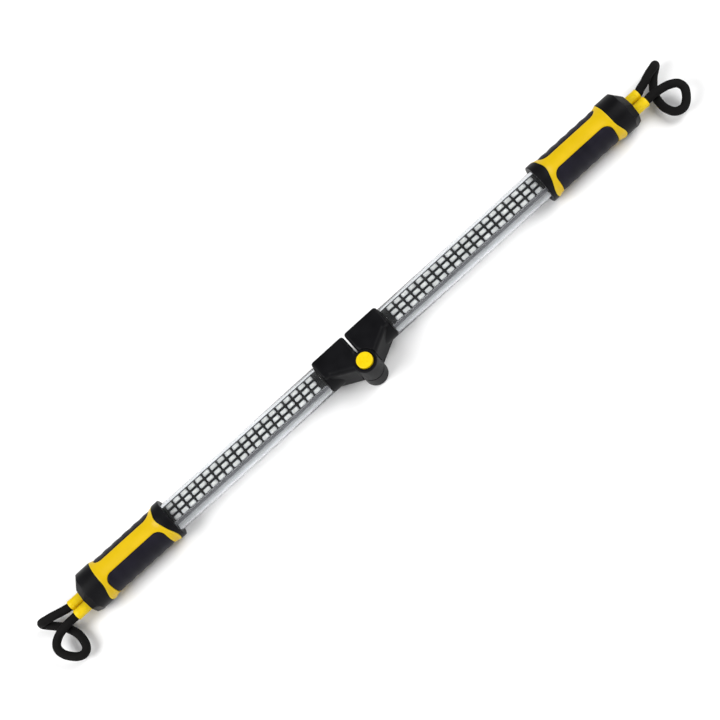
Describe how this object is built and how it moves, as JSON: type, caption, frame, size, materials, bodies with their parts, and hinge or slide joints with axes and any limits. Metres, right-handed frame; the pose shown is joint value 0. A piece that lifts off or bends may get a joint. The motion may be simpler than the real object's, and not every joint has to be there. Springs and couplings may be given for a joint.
{
  "type": "folding work light",
  "caption": "Folding two-section LED work light: clear tubes with LED boards, gripped handles with bendable wire hooks, joined by a push-button knuckle hinge.",
  "frame": {"origin": "on the surface the light lies on, below the middle of the whole light's outline", "axes": "+X along the right-hand section, +Z out of the side the LEDs face, +Y away from the knuckle"},
  "size_m": [0.7622, 0.0612, 0.0403],
  "materials": {
    "clear_tube": "clear polished polycarbonate",
    "yellow_plastic": "semi-gloss moulded",
    "black_plastic": "fine moulded texture",
    "grip_rubber": "matt, ribbed",
    "hook_foam": "matt foam sleeve",
    "seal_rubber": "matt",
    "steel": "zinc plated",
    "aluminium": "extruded, satin",
    "circuit_board": "black solder mask",
    "cell_wrap": "shrink wrap"
  },
  "bodies": {
    "left_section": {"left_tube": "clear_tube", "left_joint_gasket": "seal_rubber", "left_led_board": "circuit_board", "left_board_rail": "aluminium", "left_flange": "black_plastic", "left_flange_seal": "seal_rubber", "left_front_shell": "yellow_plastic", "left_rear_shell": "yellow_plastic", "left_upper_grip": "grip_rubber", "left_lower_grip": "grip_rubber", "left_end_cap": "black_plastic", "left_battery": "cell_wrap", "left_contact_plate": "steel", "left_contact_spring": "steel", "left_driver_board": "circuit_board", "left_tact_switch": "black_plastic", "left_charge_socket": "black_plastic", "left_flange_screw": "steel", "left_cap_screw": "steel", "left_hook_sleeve": "hook_foam", "left_hook_wire": "steel", "left_upper_collar": "yellow_plastic", "left_lower_collar": "yellow_plastic", "left_joint_housing": "black_plastic", "retaining_washer": "steel", "pivot_bolt": "steel", "pivot_nut": "steel", "lock_spring": "steel"},
    "right_section": {"right_tube": "clear_tube", "right_joint_gasket": "seal_rubber", "right_led_board": "circuit_board", "right_board_rail": "aluminium", "right_flange": "black_plastic", "right_flange_seal": "seal_rubber", "right_front_shell": "yellow_plastic", "right_rear_shell": "yellow_plastic", "right_upper_grip": "grip_rubber", "right_lower_grip": "grip_rubber", "right_end_cap": "black_plastic", "right_battery": "cell_wrap", "right_contact_plate": "steel", "right_contact_spring": "steel", "right_driver_board": "circuit_board", "right_tact_switch": "black_plastic", "right_charge_socket": "black_plastic", "right_flange_screw": "steel", "right_cap_screw": "steel", "right_hook_sleeve": "hook_foam", "right_hook_wire": "steel", "right_upper_collar": "yellow_plastic", "right_lower_collar": "yellow_plastic", "right_joint_housing": "black_plastic"},
    "release": {"release_button": "yellow_plastic", "lock_gear": "steel"},
    "left_power": {"left_power_button": "black_plastic"},
    "right_power": {"right_power_button": "black_plastic"}
  },
  "joints": [
    {"name": "fold", "type": "hinge", "parent": "left_section", "child": "right_section", "pos_m": [0, -0.0125, 0.0196], "axis": [0, 0, -1], "range_deg": [0, 173]},
    {"name": "release_press", "type": "slide", "parent": "left_section", "child": "release", "axis": [0, 0, -1], "range_m": [0, 0.003], "stiffness_N_per_m": 800, "springref_m": -0.002, "deforming": ["lock_spring"]},
    {"name": "left_power_press", "type": "slide", "parent": "left_section", "child": "left_power", "axis": [0, 0, 1], "range_m": [0, 0.0008], "stiffness_N_per_m": 1500, "springref_m": -0.0004},
    {"name": "right_power_press", "type": "slide", "parent": "right_section", "child": "right_power", "axis": [0, 0, 1], "range_m": [0, 0.0008], "stiffness_N_per_m": 1500, "springref_m": -0.0004}
  ]
}
